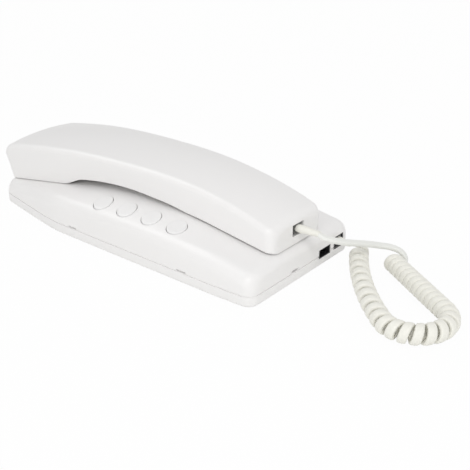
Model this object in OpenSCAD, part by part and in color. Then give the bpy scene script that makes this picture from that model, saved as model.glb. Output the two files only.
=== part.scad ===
// Slimline wall phone: a crowned base with a bed for the handset, four side buttons,
// two modular jacks in the lower end, and a handset on a curly cord.
// Millimetres. The back face is z = 0, +X points to the lower (cord) end, -Y to the buttons.

/* [Base] */
// Length of the base
base_l = 219; // [210:1:228]
// Width of the base at its widest, near the lower end
base_w = 98; // [94:1:104]
// Height of the seam between rear housing and front cover
seam_z = 7; // [6.5:0.1:8]
// Wall thickness of the base mouldings
wall = 2.2; // [1.8:0.1:2.6]
// Thickness of the rear housing's floor
floor_t = 2; // [1.6:0.1:2.4]
// Angle at which each side narrows towards the upper end
side_taper = 2.4; // [1:0.1:3]
// Further angle of the sides over the upper end's bow
bow_angle = 11; // [6:0.5:13]
// Place where the bow starts
bow_x = -37; // [-50:1:-25]
// Length over which the bow bends in
bow_blend = 24; // [10:1:40]
// Corner radius of the base in plan
plan_r = 7; // [6:0.5:10]
// Depth of the shadow groove along the seam
groove_d = 0.5; // [0.3:0.1:0.8]

/* [Bed] */
// Height of the bed at the crown
bed_z = 30; // [28:0.5:32]
// Slope of the bed's two ramps, rise over run
bed_slope = 0.16; // [0.12:0.01:0.18]
// Length over which the crown bends into each ramp
bed_blend = 42; // [30:1:50]
// Height of the cover's long edges
edge_z = 22.5; // [21:0.5:24]
// Half width of the flat of the bed
bed_flat = 20; // [16:1:22]
// Power of the curve from the bed down to the edge
fall_power = 1.8; // [1.5:0.1:2.4]
// Radius of the cover's long edges
edge_r = 8; // [6:0.5:9]
// Length of the rounding over the ends of the cover
roll_x = 6; // [4:0.5:8]
// Height of the rounding over the ends of the cover
roll_z = 4; // [3:0.5:5]

/* [Buttons] */
// Number of buttons
button_n = 4; // [2:1:4]
// Spacing of the buttons
button_pitch = 19.2; // [17:0.2:20]
// Place of the first button along the base
button_x = -10.5; // [-14:0.5:-8]
// Distance of the buttons' middles from the base's side at its widest
button_inset = 13.2; // [12.8:0.1:14]
// Radius of a button
button_r = 5.9; // [5.4:0.1:6.2]
// Gap between a button and its hole
button_gap = 0.35; // [0.3:0.05:0.5]
// Height that a button stands proud
button_proud = 0.7; // [0.5:0.1:1]
// Travel of a button
button_travel = 1.2; // [0.8:0.1:1.5]

/* [Handset] */
// Half width of the handset's rim at the ear end
ear_half_w = 24.3; // [23.5:0.1:25.5]
// Half width of the handset at the mouth end
mouth_half_w = 24.5; // [23:0.1:25]
// Distance of the mouth end's face from the middle
hand_reach = 105; // [103:0.5:105.5]
// Distance of the ear end's face from the middle
ear_reach = 108.5; // [106:0.5:110]
// Height of the handset's back at the crown
crown_z = 52.2; // [51:0.1:54]
// Place of the crown along the handset
crown_x = 5; // [0:1:12]
// Drop of the back at the ear end
ear_drop = 11.3; // [9:0.1:14]
// Drop of the back at the mouth end
mouth_drop = 16; // [14:0.5:16.5]
// Power of the back's curve towards the ear end
ear_power = 2.3; // [2:0.1:3]
// Power of the back's curve towards the mouth end
mouth_power = 2.4; // [2:0.1:3]
// Drop of the back from its middle line to its edges
crown_fall = 2.5; // [1:0.25:3]
// Distance that the side walls spread from rim to back at the ear end
hand_flare = 4.8; // [4:0.1:5.5]
// Radius of the handset's long edges
hand_r = 4; // [3.5:0.5:5]
// Corner radius of the handset in plan
hand_plan_r = 6; // [4:0.5:8]
// Lean of the ear end's face
hand_lean = 2; // [1:0.5:4]
// Wall thickness of the handset shell
hand_wall = 2.2; // [1.8:0.1:2.6]
// Height of the finger arch at its top
arch_z = 34.2; // [34:0.1:35]
// Radius of the finger arch
arch_r = 197; // [180:1:215]
// Place of the arch's top
arch_x = 1; // [0:1:5]
// Gap between the ear block and the bed
ear_gap = 0.3; // [0.3:0.05:0.5]
// Gap between the mouth block and the bed
mouth_gap = 0.8; // [0.6:0.05:1.2]
// Thickness of the handset's inner face
face_t = 1.8; // [1.6:0.1:2.2]
// Distance that the inner face sits above the rim
face_inset = 0.4; // [0.3:0.1:0.8]

/* [Ear and mouth pieces] */
// Distance of the earpiece's middle from the handset's end
ear_inset = 26.5; // [25:0.5:28]
// Radius of the earpiece boss
ear_r = 18; // [17:0.25:18.5]
// Height of the earpiece boss's face
ear_z = 14.6; // [14.4:0.1:15]
// Distance of the mouthpiece's middle from the handset's end
mouth_inset = 27; // [25:0.5:29]
// Radius of the mouthpiece boss
mouth_r = 12; // [11:0.25:12.5]
// Height of the mouthpiece boss's face
mouth_z = 20.8; // [20.4:0.1:21.2]
// Gap round each boss in its pocket
pocket_gap = 0.6; // [0.5:0.1:1]
// Gap under each boss
pocket_floor_gap = 0.4; // [0.3:0.05:0.6]
// Radius of the receiver capsule
receiver_r = 15.5; // [14.5:0.25:15.75]
// Height of the receiver capsule
receiver_h = 8; // [6:0.5:10]
// Radius of the microphone capsule
mic_r = 4.85; // [4:0.05:5]
// Height of the microphone capsule
mic_h = 6; // [5:0.5:7]

/* [Wall fixing] */
// Distance between the two wall screws
screw_pitch = 60; // [50:1:64]
// Radius of the wall screw holes
screw_hole_r = 2.25; // [2:0.05:2.5]
// Place of the middle of the two wall screws
screw_mid_x = -62; // [-64:1:-60]

/* [Electronics] */
// Thickness of the circuit board
board_t = 1.6; // [1.2:0.1:1.6]
// Height of the circuit board's underside
board_z = 3.2; // [3:0.1:3.4]
// Distance of the base cord jack's middle from the base's side at its widest
jack_inset = 13; // [12.8:0.1:13.5]
// Distance between the middles of the two jacks
jack_pitch = 14.5; // [14.3:0.1:15]
// Distance of the hook plunger from the mouthpiece's middle
hook_inset = 30; // [29:0.5:32]
// Length of the hook plunger's cap
hook_l = 9; // [7:0.5:9]
// Width of the hook plunger's cap
hook_w = 5; // [4:0.5:6]
// Travel of the hook plunger
hook_travel = 3; // [2:0.25:3]

/* [Cord] */
// Diameter of the cord
cord_d = 3.6; // [3.2:0.1:3.8]
// Radius from the curl's axis to the cord's middle
curl_r = 4.3; // [4:0.1:4.6]
// Number of whole curls
curl_n = 33; // [28:1:33]
// Clearance of the curls over the surface that they lie on
curl_lift = 0.1; // [0.05:0.05:0.4]

/* [Hidden] */
$fn = 48;

white = [0.93, 0.93, 0.92];
ivory = [0.93, 0.92, 0.86];
jack_black = [0.08, 0.08, 0.08];
board_green = [0.12, 0.38, 0.22];
steel = [0.72, 0.72, 0.74];

half_l = base_l / 2;
half_w = base_w / 2;
button_y = half_w - button_inset;
jack_y = half_w - jack_inset;
line_jack_y = jack_y - jack_pitch;
ear_x = ear_inset - ear_reach;
mouth_x = hand_reach - mouth_inset;
hook_x = mouth_x - hook_inset;
seat_gap = 0.1;
fit_gap = 0.15;

// Rises from nought with a parabola over the blend b, then runs straight at slope 1.
function ease(d, b) = d <= 0 ? 0 : d < b ? d * d / (2 * b) : d - b / 2;
function clamp(v, lo, hi) = min(max(v, lo), hi);
function smooth(t) = let (u = clamp(t, 0, 1)) u * u * (3 - 2 * u);
// How far a rounded corner of radius r, at either end of the span, cuts in from the side.
function corner_in(x, x0, x1, r) =
    let (d = clamp(max(x0 + r - x, x - x1 + r), 0, r)) r - sqrt(r * r - d * d);
// Stations along a span, close together in the rounded ends.
function stations(x0, x1, r, n) = concat(
    [for (a = [0:18:72]) x0 + r * (1 - cos(a))],
    [for (i = [0:n]) x0 + r + (x1 - x0 - 2 * r) * i / n],
    [for (a = [72:-18:0]) x1 - r * (1 - cos(a))]);

// Closed solid through a list of rings with as many points each.
module loft(rings) {
    n = len(rings[0]);
    m = len(rings);
    points = [for (ring = rings) for (p = ring) p];
    ends = [for (j = [1:n - 2]) for (f = [[0, j + 1, j], [m * n - n, m * n - n + j, m * n - n + j + 1]]) f];
    sides = [for (i = [0:m - 2]) for (j = [0:n - 1])
        let (a = i * n + j, b = i * n + (j + 1) % n) for (f = [[a, b + n, a + n], [a, b, b + n]]) f];
    polyhedron(points, concat(ends, sides));
}

// Half width of the base in plan, inset by t.
function base_side(x, t) = half_w - t
    - tan(side_taper) * max(half_l - 27 - x, 0)
    - tan(bow_angle) * ease(bow_x - x, bow_blend)
    - corner_in(x, t - half_l, half_l - t, plan_r - t);
function base_stations(t) = stations(t - half_l, half_l - t, plan_r - t, 22);
function base_plan(t) = concat(
    [for (x = base_stations(t)) [x, -base_side(x, t)]],
    [for (i = [len(base_stations(t)) - 1:-1:0]) let (x = base_stations(t)[i]) [x, base_side(x, t)]]);
module base_outline(t) polygon(base_plan(t));

// Height of the bed on the middle line.
function bed(x) = bed_z - bed_slope * (ease(8 - x, bed_blend) + ease(x - 20, bed_blend));
function bed_edge(x) = min(edge_z, bed(x) - 1.6);
// Height of the cover's top before its long edges are rounded, inset by t.
function bed_top(x, y, t) =
    let (full = half_w - bed_flat, half = base_side(x, 0) - bed_flat)
    bed(x) - t - (bed(x) - bed_edge(x)) * pow(clamp((abs(y) - bed_flat) / max(half, full / 3), 0, 1),
        fall_power);
function roll_in(x, t) =
    let (rx = roll_x - t, d = clamp(abs(x) - half_l + roll_x, 0, rx))
    roll_z * (1 - sqrt(max(1 - d * d / (rx * rx), 0)));
function edge_slope(x) = (bed(x) - bed_edge(x)) * fall_power / max(base_side(x, 0) - bed_flat, 8);
function edge_angle(x) = atan(min(edge_slope(x), 1));
// The rounded long edge: its centre, seen along the base.
function edge_centre(x, t) =
    let (r = edge_r - t, y = base_side(x, t) - r)
    [y, bed_top(x, y + r * sin(edge_angle(x)), t) - r * cos(edge_angle(x)) - roll_in(x, t)];
function cover_half(x, t) =
    let (r = edge_r - t, c = edge_centre(x, t), a1 = 90 - edge_angle(x), y1 = c[0] + r * cos(a1))
    concat([for (i = [0:4]) [c[0] + r * cos(a1 * i / 4), max(c[1] + r * sin(a1 * i / 4), seam_z + 0.3)]],
        [for (i = [1:6]) let (y = y1 * (1 - i / 7)) [y, bed_top(x, y, t) - roll_in(x, t)]]);
function cover_ring(x, t, z0) =
    let (h = cover_half(x, t), n = len(h))
    concat([[x, -base_side(x, t), z0]], [for (p = h) [x, -p[0], p[1]]],
        [[x, 0, bed_top(x, 0, t) - roll_in(x, t)]],
        [for (i = [n - 1:-1:0]) [x, h[i][0], h[i][1]]], [[x, base_side(x, t), z0]]);
module cover_solid(t, z0) loft([for (x = base_stations(t)) cover_ring(x, t, z0)]);
// Height of the cover's surface, inset by t, at any point of its plan.
function cover_z(x, y, t) =
    let (r = edge_r - t, c = edge_centre(x, t), over = abs(y) - c[0])
    over < r * sin(edge_angle(x)) ? bed_top(x, y, t) - roll_in(x, t)
        : c[1] + sqrt(max(r * r - over * over, 0));

// Handset: half width, back, underside.
function hand_side(x, t) =
    ear_half_w - t - (ear_half_w - mouth_half_w) * clamp((x + 20) / (hand_reach + 20), 0, 1)
    - corner_in(x, t - ear_reach, hand_reach - t, hand_plan_r - t);
// Rounding of the back over either end: length and height.
function end_roll(x) = x < 0 ? [10.5, 8.5] : [4.5, 3.2];
function hand_roll(x, t) =
    let (l = end_roll(x)[0], d = clamp(max(-x - ear_reach, x - hand_reach) + l, 0, l - t))
    end_roll(x)[1] * (1 - sqrt(max(1 - d * d / ((l - t) * (l - t)), 0)));
function hand_back(x, t) = crown_z - t - hand_roll(x, t)
    - (x < crown_x ? ear_drop * pow((crown_x - x) / (ear_reach + crown_x), ear_power)
        : mouth_drop * pow((x - crown_x) / (hand_reach - crown_x), mouth_power));
// Drop of the back at distance y from its middle line.
function hand_fall(x, y) = crown_fall * pow(y / hand_side(x, 0), 2);
// Share by which the side walls spread, f of the way up from the rim.
flare_end = 60;
function flare(x, f) =
    1 + hand_flare * clamp((flare_end - x) / (2 * flare_end), 0, 1) * f / hand_side(x, 0);
function arch(x) = arch_z - (x - arch_x) * (x - arch_x) / (2 * arch_r);
function ear_line(x) = bed(x) + ear_gap;
function mouth_line(x) = bed(x) + mouth_gap;
arch_start = ear_x + 24;
arch_step = 18;
function hand_under(x) =
    let (s = smooth((x - arch_start) / arch_step))
    x < arch_x ? ear_line(x) * (1 - s) + arch(x) * s : max(arch(x), mouth_line(x));
function lean(x, f) = hand_lean * f * pow(clamp((30 - ear_reach - x) / 30, 0, 1), 2);
function hand_ring(x, t, drop) =
    let (r = hand_r - t, w = hand_side(x, t), top = hand_back(x, t), z0 = hand_under(x) - drop,
        yc = w - r, fall = hand_fall(x, yc), zc = max(top - fall - r, z0 + 1),
        half = concat([[w, z0]], [for (a = [0:15:75]) [yc + r * cos(a), zc + r * sin(a)]],
            [for (i = [0:4]) let (y = yc * (1 - i / 5)) [y, zc + r + fall - hand_fall(x, y)]]),
        wall_line = [for (p = half) let (f = (p[1] - z0) / (top - z0))
            [x - lean(x, f), p[0] * flare(x, f), p[1]]])
    concat([for (p = wall_line) [p[0], -p[1], p[2]]], [[x - lean(x, 1), 0, zc + r + fall]],
        [for (i = [len(half) - 1:-1:0]) wall_line[i]]);
function hand_stations(t) = stations(t - ear_reach, hand_reach - t, hand_plan_r - t, 30);
module hand_solid(t, drop) loft([for (x = hand_stations(t)) hand_ring(x, t, drop)]);

// Places that several pieces share.
board_top = board_z + board_t;
jack_x = half_l - wall - 0.5;
jack_depth = 12.5;
jack_w = 12.6;
jack_h = 8.8;
jack_mid_z = board_top + jack_h / 2;
socket_w = 7.9;
socket_h = 6.4;
socket_deep = 11;
plug_w = socket_w - 2 * fit_gap;
plug_h = socket_h - 2 * fit_gap - 0.4;
line_socket_w = 9.9;
line_socket_h = 5.2;
line_jack_w = 13.6;
hand_jack_x = hand_reach - hand_wall - 0.3;
hand_jack_depth = 10.5;
hand_jack_h = 8;
hand_jack_z = hand_under(hand_jack_x - hand_jack_depth) + face_inset + face_t + seat_gap + hand_jack_h / 2;
hook_z = min(hand_under(hook_x - hook_l / 2), hand_under(hook_x + hook_l / 2)) + face_inset - 0.3;
ear_pocket_z = ear_z - pocket_floor_gap;
mouth_pocket_z = mouth_z - pocket_floor_gap;
pocket_wall = 1.8;
hand_screw_xs = [ear_x + 25, mouth_x - 17];
board_screw_xy = [[-14, 19 - half_w], [-14, half_w - 19], [half_l - 23.5, 15 - half_w], [half_l - 25.5,
    10]];
screw_r = 1.15;
hand_screw_head_r = 2.6;
hand_screw_head_h = 1.8;
hand_screw_l = 10;
// The board's larger parts, each with its length, width and height.
chip = [20, 7.6, 3.6];
chip_x = 2;
bridge = [8, 6, 4];
bridge_at = [34, 14, 0];
transformer = [14, 12, 9];
capacitor_r = 4;
capacitor_h = 9;
resistor_r = 1;
resistor_l = 6;
resistor_y = -17;
tall_part_y = 20;
tact_w = 6;
tact_body_h = 3.5;
tact_h = 8;
ringer_r = 8;
ringer_h = 5;
boot_w = 6.4;
boot_h = 4.6;
boot_tip_w = cord_d + 1;
boot_tip_h = cord_d + 0.4;
hand_boot_x = hand_reach + 13.5;
base_boot_x = half_l + 5;

function button_place(i) = button_x + (i - 1) * button_pitch;
function button_flange_z(i) = min(
    cover_z(button_place(i) - 6, button_y + 6.8, wall), cover_z(button_place(i) + 6, button_y + 6.8,
        wall)) - 0.4;

// ---- Base ----
module rear_housing() color(white) difference() {
    union() {
        difference() {
            base_tray();
            translate([0, 0, floor_t]) linear_extrude(seam_z) base_outline(wall);
        }
        housing_lip();
        for (p = board_screw_xy) translate([p[0], p[1], 0]) cylinder(r = 3.2, h = board_z);
        for (s = [-1, 1]) translate([screw_mid_x + s * screw_pitch / 2, 0, 0]) cylinder(r = 6, h =
            floor_t + 1);
    }
    for (p = board_screw_xy) translate([p[0], p[1], 0.8]) cylinder(r = 1.2, h = board_z);
    for (s = [-1, 1]) translate([screw_mid_x + s * screw_pitch / 2, 0, -1]) cylinder(r = screw_hole_r,
        h = floor_t + 4);
    jack_windows();
}

// The housing's outside: a bevelled foot, a straight side and the groove under the seam.
module base_tray() {
    steps = [[0, 1.5], [0.5, 0.6], [1.8, 0], [seam_z - 0.7, 0], [seam_z - 0.6, groove_d], [seam_z,
        groove_d]];
    loft([for (s = steps) let (plan = base_plan(s[1])) [for (i = [len(plan) - 1:-1:0]) [plan[i][0],
        plan[i][1], s[0]]]]);
}

// The lip that the cover slips over.
module housing_lip() difference() {
    union() {
        translate([0, 0, seam_z - 2]) linear_extrude(2) base_outline(wall - 0.3);
        translate([0, 0, seam_z - 0.1]) linear_extrude(1.9) base_outline(wall + seat_gap);
    }
    translate([0, 0, seam_z - 3]) linear_extrude(6) base_outline(wall + 1.1);
    translate([jack_x - jack_depth, line_jack_y - line_jack_w / 2 - 0.5, board_top - 0.1])
        cube([jack_depth + 10, jack_y + jack_w / 2 - line_jack_y + line_jack_w / 2 + 1, 8]);
}

// The openings in front of the two jacks, cut in both halves.
module jack_windows() {
    translate([half_l - wall - 1, jack_y - 5.1, jack_mid_z - 4.1]) cube([wall + 3, 10.2, 8]);
    translate([half_l - wall - 1, line_jack_y - 6, jack_mid_z - 4.3]) cube([wall + 3, 12, 5.6]);
}

module snap_slots() {
    for (x = [-30, 60]) for (s = [-1, 1])
        translate([x - 3.5, s * base_side(x, 0) - 1, seam_z - 1]) cube([7, 2, 2.2]);
    translate([half_l - 1, -11.5, seam_z - 1]) cube([2, 6, 2.2]);
}

module front_cover() color(white) difference() {
    cover_solid(0, seam_z);
    // The inside, around the cups that close the two pockets.
    difference() {
        cover_solid(wall, seam_z - 2);
        translate([ear_x, 0, ear_pocket_z - pocket_wall]) cylinder(r = ear_r + pocket_gap + pocket_wall,
            h = 30);
        translate([mouth_x, 0, mouth_pocket_z - pocket_wall]) cylinder(r = mouth_r + pocket_gap
            + pocket_wall, h = 30);
    }
    translate([ear_x, 0, ear_pocket_z]) cylinder(r = ear_r + pocket_gap, h = 30);
    translate([mouth_x, 0, mouth_pocket_z]) cylinder(r = mouth_r + pocket_gap, h = 30);
    for (i = [1:button_n]) translate([button_place(i), -button_y, 10]) cylinder(r = button_r
        + button_gap, h = 30);
    translate([hook_x - hook_l / 2 - 0.3, -hook_w / 2 - 0.3, 15]) cube([hook_l + 0.6, hook_w + 0.6, 30]);
    jack_windows();
    snap_slots();
}

module circuit_board() color(board_green) difference() {
    translate([0, 0, board_z]) linear_extrude(board_t) intersection() {
        base_outline(wall + 0.6);
        translate([-20, -base_w]) square([half_l - 5.5 + 20, 2 * base_w]);
    }
    for (p = board_screw_xy) translate([p[0], p[1], 0]) cylinder(r = 1.5, h = 20);
}

module board_screws() color(steel) for (p = board_screw_xy) translate([p[0], p[1], 0]) {
    translate([0, 0, 1]) cylinder(r = screw_r, h = board_top);
    translate([0, 0, board_top]) cylinder(r = 2.5, h = 1.6);
}

// Larger parts on the board: a line chip, a bridge, capacitors, a transformer and a relay-sized block.
module board_parts() translate([0, 0, board_top]) {
    color("dimgray") translate([chip_x, -chip[1], 0]) cube(chip);
    color("dimgray") translate(bridge_at) cube(bridge);
    color("darkblue") for (x = [0, 3 * capacitor_r]) translate([x, tall_part_y, 0])
        cylinder(r = capacitor_r, h = capacitor_h);
    color("khaki") translate([hook_x + 12, tall_part_y, 0]) cube(transformer);
    color("peru") for (i = [0:5]) translate([hook_x + resistor_l * (i + 1), resistor_y, resistor_r])
        rotate([90, 0, 0]) cylinder(r = resistor_r, h = resistor_l);
}

module tact_switches() color("dimgray") for (i = [1:button_n]) translate([button_place(i), -button_y,
    board_top]) {
    translate([-tact_w / 2, -tact_w / 2, 0]) cube([tact_w, tact_w, tact_body_h]);
    cylinder(r = 1.75, h = tact_h);
}
button_foot_z = board_top + tact_h + button_travel + 0.05;

module hook_switch() color("dimgray") {
    translate([hook_x - 10, -3.2, board_top]) cube([20, 6.4, 8]);
    translate([hook_x, 0, board_top]) cylinder(r = 1.5, h = 9);
}

module ringer() color("darkgoldenrod") translate([ringer_x, 16 - half_w, board_top]) difference() {
    cylinder(r = ringer_r, h = ringer_h);
    translate([0, 0, ringer_h - 1]) cylinder(r = ringer_r / 4, h = 3);
}
ringer_x = (button_place(button_n) + board_screw_xy[2][0]) / 2;

// A modular socket block with its front at the origin, open towards +X from the height open_z.
module socket_block(w, h, deep, open_w, open_h, open_z) difference() {
    translate([-deep, -w / 2, -h / 2]) cube([deep, w, h]);
    translate([1 - socket_deep, -open_w / 2, open_z]) cube([socket_deep, open_w, open_h]);
    translate([-4, -1.8, -h / 2 + 0.4]) cube([5, 3.6, h / 2]);
}

module base_jack() color(jack_black) translate([jack_x, jack_y, jack_mid_z])
    socket_block(jack_w, jack_h, jack_depth, socket_w, socket_h, 0.4 - socket_h / 2);

module line_jack() color(jack_black) translate([jack_x, line_jack_y, jack_mid_z])
    socket_block(line_jack_w, jack_h, jack_depth, line_socket_w, line_socket_h, 0.6 - jack_h / 2);

module hook_plunger() color(white) translate([hook_x, 0, 0]) {
    translate([-hook_l / 2, -hook_w / 2, hook_shoulder_z - 1]) cube([hook_l, hook_w, hook_z
        - hook_shoulder_z + 1]);
    translate([-hook_l / 2 - 1.5, -hook_w / 2 - 1.5, hook_shoulder_z - 1.2]) cube([hook_l + 3, hook_w
        + 3, 1.2]);
    translate([0, 0, board_top + 9.2]) cylinder(r = 1.8, h = hook_shoulder_z - board_top - 9.6);
}
hook_shoulder_z = min(cover_z(hook_x + 8, 0, wall), cover_z(hook_x - 8, 0, wall)) - hook_travel - 0.4;

// A push button: a cap that follows the cover, a shoulder under it and a stem down to its switch.
module button(i) color(white) {
    x = button_place(i);
    shoulder_z = button_flange_z(i);
    intersection() {
        translate([x, -button_y, shoulder_z - 0.5]) cylinder(r = button_r, h = 30);
        cap_patch(x, button_r + 1);
    }
    translate([x, -button_y, shoulder_z - 1.2]) cylinder(r = button_r + 0.8, h = 1.2);
    translate([x, -button_y, button_foot_z]) cylinder(r = 2.2, h = shoulder_z - button_foot_z - 1);
}
// A block whose top is the cover's surface, raised by button_proud.
module cap_patch(x, r) loft([for (dx = [-r:r / 3:r + 0.01])
    concat([for (dy = [-r:r / 4:r + 0.01])
        [x + dx, dy - button_y, cover_z(x + dx, dy - button_y, 0) + button_proud]],
        [[x + dx, r - button_y, board_top], [x + dx, -r - button_y, board_top]])]);
module button_1() button(1);
module button_2() if (button_n > 1) button(2);
module button_3() if (button_n > 2) button(3);
module button_4() if (button_n > 3) button(4);

// ---- Handset ----
module handset_shell() color(white) difference() {
    hand_solid(0, 0);
    // The inside, around the bosses for the screws.
    difference() {
        hand_solid(hand_wall, 2);
        for (x = hand_screw_xs) translate([x, 0, screw_seat_z(x)]) cylinder(r = 3.6, h = 40);
    }
    for (x = hand_screw_xs) translate([x, 0, screw_seat_z(x) - 1]) cylinder(r = 1.2, h = 11);
    translate([hand_reach - hand_wall - 1, -5.2, hand_jack_z - 3.6]) cube([hand_wall + 3, 10.4, 7]);
}
function screw_seat_z(x) = hand_under(x) + face_inset + 4;

module handset_face() color(white) difference() {
    union() {
        face_plate();
        translate([ear_x, 0, ear_z]) cylinder(r = ear_r, h = bed(ear_x + ear_r) - ear_z + 3);
        translate([mouth_x, 0, mouth_z]) cylinder(r = mouth_r, h = bed(mouth_x) - mouth_z + 3);
        for (x = hand_screw_xs) translate([x, 0, hand_under(x) + face_inset + 0.9]) cylinder(r = 4.5,
            h = 3);
    }
    translate([ear_x, 0, ear_z + 1.8]) cylinder(r = receiver_r + 0.6, h = 30);
    translate([mouth_x, 0, mouth_z + 1.8]) cylinder(r = mic_r + 1.35, h = 30);
    translate([ear_x, 0, ear_z - 1]) sound_holes(6, 6, 1.2);
    translate([mouth_x, 0, mouth_z - 1]) sound_holes(3, 2.4, 0.8);
    for (x = hand_screw_xs) translate([x, 0, hand_under(x) - 1]) {
        cylinder(r = 1.5, h = 9);
        cylinder(r = 2.9, h = 3.4);
    }
}

// The inner face: a plate that follows the handset's underside inside the shell.
module face_plate() {
    t = hand_wall + fit_gap;
    loft([for (x = hand_stations(t)) let (z = hand_under(x) + face_inset, w = hand_side(x, t))
        [[x, -w, z], [x, -w, z + face_t], [x, w, z + face_t], [x, w, z]]]);
}

module sound_holes(n, r, hole_r) {
    cylinder(r = hole_r, h = 5);
    for (i = [0:n - 1]) rotate(i * 360 / n) translate([r, 0, 0]) cylinder(r = hole_r, h = 5);
}

module handset_screws() color(steel) for (x = hand_screw_xs) {
    translate([x, 0, hand_under(x) + face_inset + 0.2]) cylinder(r = hand_screw_head_r, h =
        hand_screw_head_h);
    translate([x, 0, hand_under(x) + face_inset + 2]) cylinder(r = screw_r, h = hand_screw_l);
}

module receiver_capsule() color(steel) translate([ear_x, 0, ear_z + 3.3]) {
    cylinder(r = receiver_r, h = receiver_h - 2);
    cylinder(r = receiver_r - 4, h = receiver_h);
}

module receiver_gasket() color("dimgray") translate([ear_x, 0, ear_z + 1.8]) difference() {
    cylinder(r = receiver_r + 0.3, h = 1.5);
    translate([0, 0, -1]) cylinder(r = receiver_r - 4, h = 5);
}

module microphone_capsule() color(steel) translate([mouth_x, 0, mouth_z + 3]) cylinder(r = mic_r, h =
    mic_h);

module microphone_boot() color("dimgray") translate([mouth_x, 0, mouth_z + 1.8]) difference() {
    cylinder(r = mic_r + 1.25, h = mic_h + 0.4);
    translate([0, 0, 1.2]) cylinder(r = mic_r + 0.02, h = mic_h);
    translate([0, 0, -1]) cylinder(r = mic_r - 1.5, h = 5);
}

module handset_jack() color(jack_black) translate([hand_jack_x, 0, hand_jack_z])
    socket_block(jack_w, hand_jack_h, hand_jack_depth, socket_w, socket_h, 0.4 - socket_h / 2);

// ---- Cord ----
// A modular plug with a boot, its tip at x = 0, reaching back to x = reach.
module plug(reach, deep) {
    translate([0, -plug_w / 2, -plug_h / 2]) cube([deep, plug_w, plug_h]);
    hull() {
        translate([deep - 0.5, 0, 0]) rotate([0, 90, 0]) boot_slice(boot_w, boot_h);
        translate([reach - 0.2, 0, 0]) rotate([0, 90, 0]) boot_slice(boot_tip_w, boot_tip_h);
    }
}
module boot_slice(w, h) linear_extrude(0.2) for (s = [-1, 1]) translate([0, s * (w - h) / 2]) circle(d =
    h, $fn = 24);

module handset_plug() color(ivory) translate([hand_jack_x - 9.5, 0, hand_jack_z + 0.4])
    plug(hand_boot_x - hand_jack_x + 9.5, 12);

module base_plug() color(ivory) translate([jack_x - 9.5, jack_y, jack_mid_z + 0.4])
    plug(base_boot_x - jack_x + 9.5, 12);

// The coil's axis lies in the plane z = coil_z: a gently bent run out, a round turn, a straight run back.
coil_z = curl_r + cord_d / 2 + curl_lift;
coil_start = [123.5, 36.5];
out_l = 80;
out_a0 = -61;
out_a1 = -39.5;
turn_r = 17.7;
back_a = 146.5;
back_l = 59.5;
turn_l = turn_r * (back_a - out_a1) * PI / 180;
coil_l = out_l + turn_l + back_l;
out_r = out_l / ((out_a1 - out_a0) * PI / 180);
// A point at distance s along an arc of radius r from heading a.
function arc(a, r, s) =
    let (b = a + s / r * 180 / PI) [r * (sin(b) - sin(a)), r * (cos(a) - cos(b))];
function axis_heading(s) = s < out_l ? out_a0 + s / out_r * 180 / PI
    : s < out_l + turn_l ? out_a1 + (s - out_l) / turn_r * 180 / PI : back_a;
function axis_point(s) = s < out_l ? coil_start + arc(out_a0, out_r, s)
    : s < out_l + turn_l ? coil_start + arc(out_a0, out_r, out_l) + arc(out_a1, turn_r, s - out_l)
    : coil_start + arc(out_a0, out_r, out_l) + arc(out_a1, turn_r, turn_l)
        + (s - out_l - turn_l) * [cos(back_a), sin(back_a)];
// Room that a curl takes along the axis: loose on the way out, tight on the way back.
function curl_pitch(s) = lookup(s, [[0, 8.2], [out_l - 10, 8], [out_l + 8, 5.8], [out_l + turn_l - 6, 5.8],
    [out_l + turn_l + 10, 4.7], [coil_l, 4.7]]);
curl_steps = 8;
curl_turns = curl_n - 0.5;
curl_k = curl_turns * curl_steps;
function run_on(s, k) = k == 0 ? [s] : concat([s], run_on(s + curl_pitch(s) / curl_steps, k - 1));
raw_run = run_on(0, curl_k);
curl_run = [for (s = raw_run) s * coil_l / raw_run[curl_k]];
function curl_up(k) = 90 - 360 * k / curl_steps;
function side_dir(s) = [-sin(axis_heading(s)), cos(axis_heading(s)), 0];
function curl_out(k) = side_dir(curl_run[k]) * cos(curl_up(k)) + [0, 0, sin(curl_up(k))];
function curl_point(k) = [axis_point(curl_run[k])[0], axis_point(curl_run[k])[1], coil_z] + curl_r
    * curl_out(k);
curl_points = [for (k = [0:curl_k]) curl_point(k)];
function unit(v) = v / norm(v);
// Direction of the cord at step k: round the axis, with the advance along it.
function curl_dir(k) =
    let (s = curl_run[k], a = axis_heading(s), step = (curl_run[min(k + 1, curl_k)] - curl_run[max(k
        - 1, 0)])
            / (min(k + 1, curl_k) - max(k - 1, 0)) * curl_steps / 360 * 180 / PI)
    unit((side_dir(s) * sin(curl_up(k)) - [0, 0, cos(curl_up(k))]) * curl_r
        + [cos(a), sin(a), 0] * step * (1 + curl_r * bend_at(s) * cos(curl_up(k)) * -1));
function bend_at(s) = s < out_l ? 1 / out_r : s < out_l + turn_l ? 1 / turn_r : 0;
coil_in = curl_points[0] - cord_d * curl_dir(0);
coil_out = curl_points[curl_k] + cord_d * curl_dir(curl_k);
function cord_ring(p, u, v, n) = [for (i = [0:n - 1]) p + cord_d / 2 * (u * cos(360 * i / n) + v
    * sin(360 * i / n))];
function curl_ring(p, k, n) = let (u = curl_out(k)) cord_ring(p, u, unit(cross(u, curl_dir(k))), n);

module cord_coil() color(ivory) loft(concat([curl_ring(coil_in, 0, 6)],
    [for (k = [0:curl_k]) curl_ring(curl_points[k], k, 6)], [curl_ring(coil_out, curl_k, 6)]));

// Least distance between two stretches of the coil at least half a curl apart, less the cord.
coil_gap = min([for (i = [0:curl_k]) for (j = [i + curl_steps / 2:min(i + 2 * curl_steps, curl_k)])
    norm(curl_points[i] - curl_points[j])]) - cord_d;
echo(coil_gap = coil_gap);

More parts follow.
